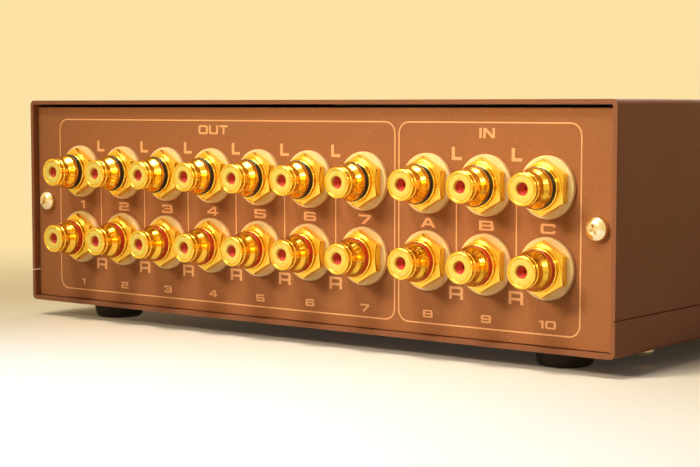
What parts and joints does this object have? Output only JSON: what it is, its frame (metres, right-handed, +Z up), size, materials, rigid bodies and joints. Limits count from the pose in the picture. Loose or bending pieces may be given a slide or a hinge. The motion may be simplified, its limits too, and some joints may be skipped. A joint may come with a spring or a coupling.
{
  "type": "line selector switch box",
  "caption": "Passive stereo line selector in a shallow folded metal box, with rows of phono sockets behind and rotary selector knobs in front.",
  "frame": {"origin": "under the middle of the whole box, on the surface that the rubber feet stand on", "axes": "+Z up; the knobs face -Y and the sockets face +Y; +X is to the right seen from the front"},
  "size_m": [0.209, 0.1758, 0.0676],
  "materials": {
    "case_paint": "satin bronze-brown paint",
    "panel_paint": "satin bronze-brown paint",
    "bracket_steel": "plain plated steel",
    "foot_rubber": "matt black",
    "screw_steel": "bright plated steel",
    "socket_gold": "polished gold plate",
    "contact_gold": "gold plate",
    "ring_black": "gloss black",
    "ring_red": "gloss red",
    "socket_plastic": "cream",
    "washer_nylon": "cream nylon",
    "tag_metal": "tinned",
    "nut_gold": "gold plate",
    "switch_metal": "plated steel",
    "wafer_board": "brown resin board",
    "clip_metal": "silver plate",
    "spacer_metal": "plain",
    "rotor_plastic": "white nylon",
    "shaft_metal": "plain turned",
    "knob_metal": "satin turned",
    "set_screw_steel": "blackened",
    "cable_sheath": "grey-black sheath",
    "bus_metal": "tinned copper"
  },
  "bodies": {
    "case": {"black_rings": "ring_black", "bottom_tray": "case_paint", "centre_contacts": "contact_gold", "front_bracket_left": "bracket_steel", "front_bracket_right": "bracket_steel", "front_foot_left": "foot_rubber", "front_foot_right": "foot_rubber", "front_panel": "panel_paint", "front_panel_screws": "screw_steel", "ground_bus": "bus_metal", "ground_tags": "tag_metal", "inner_washers": "washer_nylon", "input_bushing_nut": "screw_steel", "input_lock_washer": "screw_steel", "input_loom": "cable_sheath", "input_shells_left": "socket_gold", "input_shells_right": "socket_gold", "input_spacers": "spacer_metal", "input_studs": "screw_steel", "input_switch_housing": "switch_metal", "input_terminal_clips": "clip_metal", "input_wafers": "wafer_board", "outer_washers": "washer_nylon", "output_bushing_nut": "screw_steel", "output_lock_washer": "screw_steel", "output_loom": "cable_sheath", "output_shells_left": "socket_gold", "output_shells_right": "socket_gold", "output_spacers": "spacer_metal", "output_studs": "screw_steel", "output_switch_housing": "switch_metal", "output_terminal_clips": "clip_metal", "output_wafers": "wafer_board", "rear_bracket_left": "bracket_steel", "rear_bracket_right": "bracket_steel", "rear_foot_left": "foot_rubber", "rear_foot_right": "foot_rubber", "rear_panel": "panel_paint", "rear_panel_screws": "screw_steel", "red_rings": "ring_red", "socket_insulators": "socket_plastic", "socket_nuts": "nut_gold", "switch_link": "cable_sheath", "top_cover": "case_paint", "underside_screws": "screw_steel"},
    "input_selector": {"input_knob": "knob_metal", "input_set_screw": "set_screw_steel", "input_shaft": "shaft_metal", "input_rotors": "rotor_plastic"},
    "output_selector": {"output_knob": "knob_metal", "output_set_screw": "set_screw_steel", "output_shaft": "shaft_metal", "output_rotors": "rotor_plastic"}
  },
  "joints": [
    {"name": "input_select", "type": "hinge", "parent": "case", "child": "input_selector", "pos_m": [-0.048, -0.07095, 0.0363], "axis": [0, -1, 0], "range_deg": [-30, 30]},
    {"name": "output_select", "type": "hinge", "parent": "case", "child": "output_selector", "pos_m": [0.048, -0.07095, 0.0363], "axis": [0, -1, 0], "range_deg": [-90, 90]}
  ]
}
